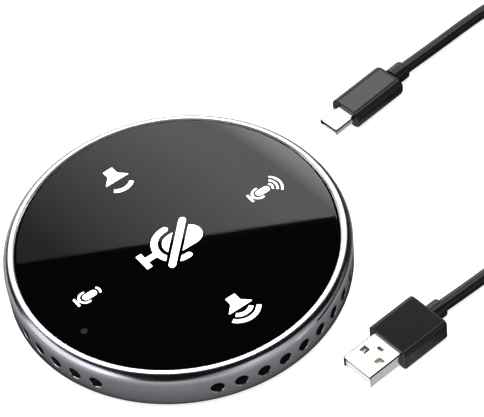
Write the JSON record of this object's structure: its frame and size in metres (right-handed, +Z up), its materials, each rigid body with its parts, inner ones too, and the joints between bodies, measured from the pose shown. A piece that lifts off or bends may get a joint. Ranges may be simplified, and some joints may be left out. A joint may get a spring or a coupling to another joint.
{
  "type": "conference speakerphone",
  "caption": "Flat round USB conference speakerphone: aluminium rim with sound holes, black glass top with backlit touch icons, rubber foot, and its unplugged USB-C to USB-A cable.",
  "frame": {"origin": "centre of the rubber foot's underside, on the table", "axes": "+Z up through the glass, +Y out of the USB port at the rear, +X to the right as seen from the front"},
  "size_m": [0.1621, 0.2252, 0.0145],
  "materials": {
    "anodised_aluminium": "bead-blasted, anodised gunmetal grey",
    "polished_trim": "polished",
    "black_glass": "clear cover glass",
    "black_film": "black printed film",
    "white_diffuser": "white diffusing film",
    "white_plastic": "white moulded plastic",
    "smoked_status": "unlit status lamp",
    "adhesive": "black foam tape",
    "acoustic_cloth": "black woven mesh",
    "black_plastic": "fine-textured black plastic",
    "black_rubber": "matt",
    "label": "blank label film",
    "steel": "plain steel",
    "black_steel": "black zinc screws",
    "magnet": "nickel-plated magnet",
    "copper": "enamelled copper",
    "paper_cone": "black fibre cone",
    "circuit_board": "solder-masked glass epoxy",
    "chip": "black moulded package",
    "ceramic": "ceramic capacitor",
    "tin_plate": "tinned steel",
    "gold": "gold-plated contacts",
    "grey_plug": "satin dark grey overmould",
    "cord_jacket": "satin black jacket",
    "usb_white": "white insulator",
    "amber_film": "polyimide flat cable"
  },
  "bodies": {
    "device": {"housing_ring": "anodised_aluminium", "trim_ring": "polished_trim", "front_mesh": "acoustic_cloth", "right_mesh": "acoustic_cloth", "left_mesh": "acoustic_cloth", "top_glass": "black_glass", "glass_adhesive": "adhesive", "icon_diffuser": "white_diffuser", "mask_film": "black_film", "light_frame": "white_plastic", "board_tape": "adhesive", "touch_board": "circuit_board", "icon_leds": "white_diffuser", "status_led": "smoked_status", "touch_chip": "chip", "bottom_cover": "black_plastic", "rubber_foot": "black_rubber", "rating_label": "label", "cover_screws": "black_steel", "board_screws": "steel", "speaker_gasket": "adhesive", "speaker_basket": "steel", "speaker_yoke": "tin_plate", "speaker_magnet": "magnet", "speaker_pole_plate": "tin_plate", "speaker_surround": "black_rubber", "main_board": "circuit_board", "dsp_chip": "chip", "memory_chip": "chip", "clock_crystal": "tin_plate", "amplifier_chip": "chip", "codec_chip": "chip", "power_inductors": "chip", "small_capacitors": "ceramic", "shield_can": "tin_plate", "capacitor_cans": "tin_plate", "flat_connectors": "white_plastic", "flat_cable": "amber_film", "microphones": "tin_plate", "mic_boots": "black_rubber", "port_shell": "steel", "port_tongue": "chip", "port_contacts": "gold", "port_liner": "black_plastic"},
    "cone_assembly": {"voice_coil": "copper", "speaker_cone": "paper_cone", "dust_cap": "paper_cone"},
    "usb_cable": {"usb_c_shell": "steel", "usb_c_insert": "chip", "usb_c_contacts": "gold", "usb_c_overmould": "grey_plug", "usb_c_relief": "cord_jacket", "usb_a_shell": "steel", "usb_a_insert": "usb_white", "usb_a_contacts": "gold", "usb_a_overmould": "grey_plug", "usb_a_relief": "cord_jacket", "cord_usb_c_end": "cord_jacket", "cord_usb_a_end": "cord_jacket", "cord_coil": "cord_jacket"}
  },
  "joints": [
    {"name": "cone_slide", "type": "slide", "parent": "device", "child": "cone_assembly", "axis": [0, 0, 1], "range_m": [-0.0006, 0.0006], "stiffness_N_per_m": 500, "deforming": ["speaker_surround"]},
    {"name": "cable_lift", "type": "slide", "parent": "device", "child": "usb_cable", "axis": [0, 0, 1], "range_m": [0, 0.04]}
  ]
}
